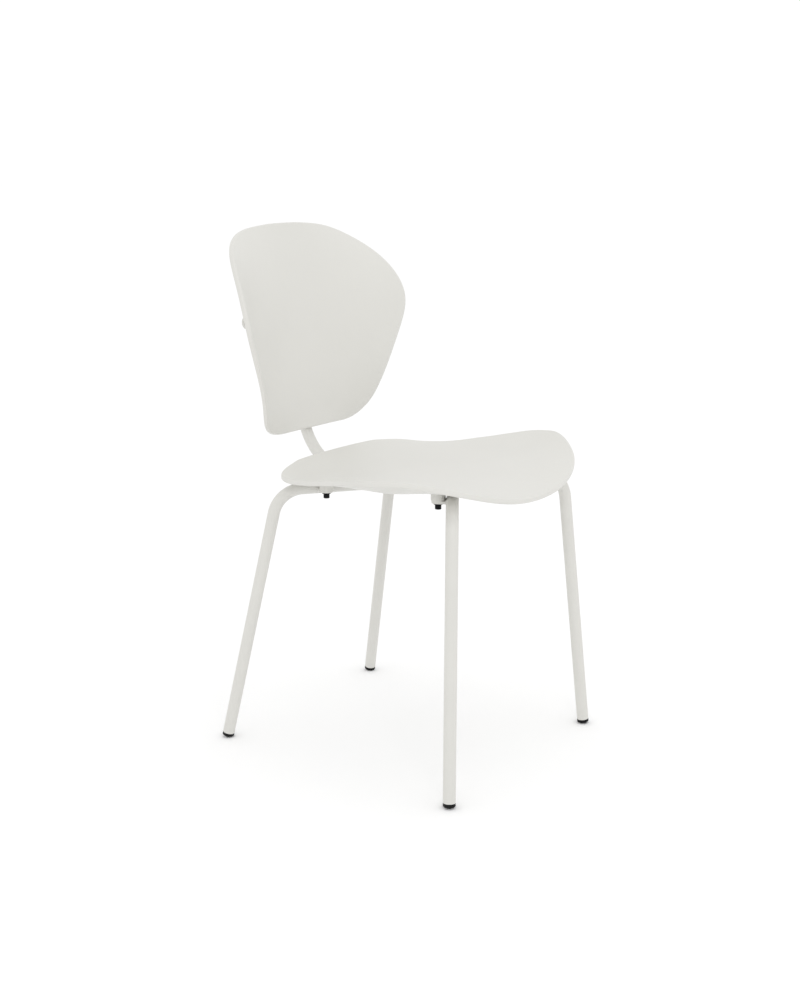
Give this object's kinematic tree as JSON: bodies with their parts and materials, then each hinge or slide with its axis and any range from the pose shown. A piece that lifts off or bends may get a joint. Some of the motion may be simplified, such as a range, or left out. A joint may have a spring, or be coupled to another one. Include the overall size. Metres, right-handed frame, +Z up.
{
  "type": "stacking chair",
  "caption": "Stacking chair: moulded shell seat and rounded backrest on splayed round tube legs that meet at a bent spine tube.",
  "frame": {"origin": "middle of the chair's footprint box, on the floor", "axes": "+Z up, -Y the way the sitter faces, +X to the sitter's left"},
  "size_m": [0.482, 0.5042, 0.8192],
  "materials": {
    "white_plastic": "satin, fine moulded grain",
    "white_powder_coat": "satin powder coat",
    "black_glide": "matte",
    "black_screw_steel": "black oxide",
    "brass_insert": "machined"
  },
  "bodies": {
    "root": {"seat_shell": "white_plastic", "back_shell": "white_plastic", "spine_tube": "white_powder_coat", "back_bar": "white_powder_coat", "front_leg_right": "white_powder_coat", "seat_tab_front_right": "white_powder_coat", "foot_glide_front_right": "black_glide", "front_leg_left": "white_powder_coat", "seat_tab_front_left": "white_powder_coat", "foot_glide_front_left": "black_glide", "rear_leg_right": "white_powder_coat", "seat_tab_rear_right": "white_powder_coat", "foot_glide_rear_right": "black_glide", "rear_leg_left": "white_powder_coat", "seat_tab_rear_left": "white_powder_coat", "foot_glide_rear_left": "black_glide", "seat_screws": "black_screw_steel", "seat_washers": "black_screw_steel", "seat_inserts": "brass_insert", "back_screws": "black_screw_steel", "back_washers": "black_screw_steel", "back_inserts": "brass_insert", "spine_plugs": "white_plastic"}
  },
  "joints": []
}
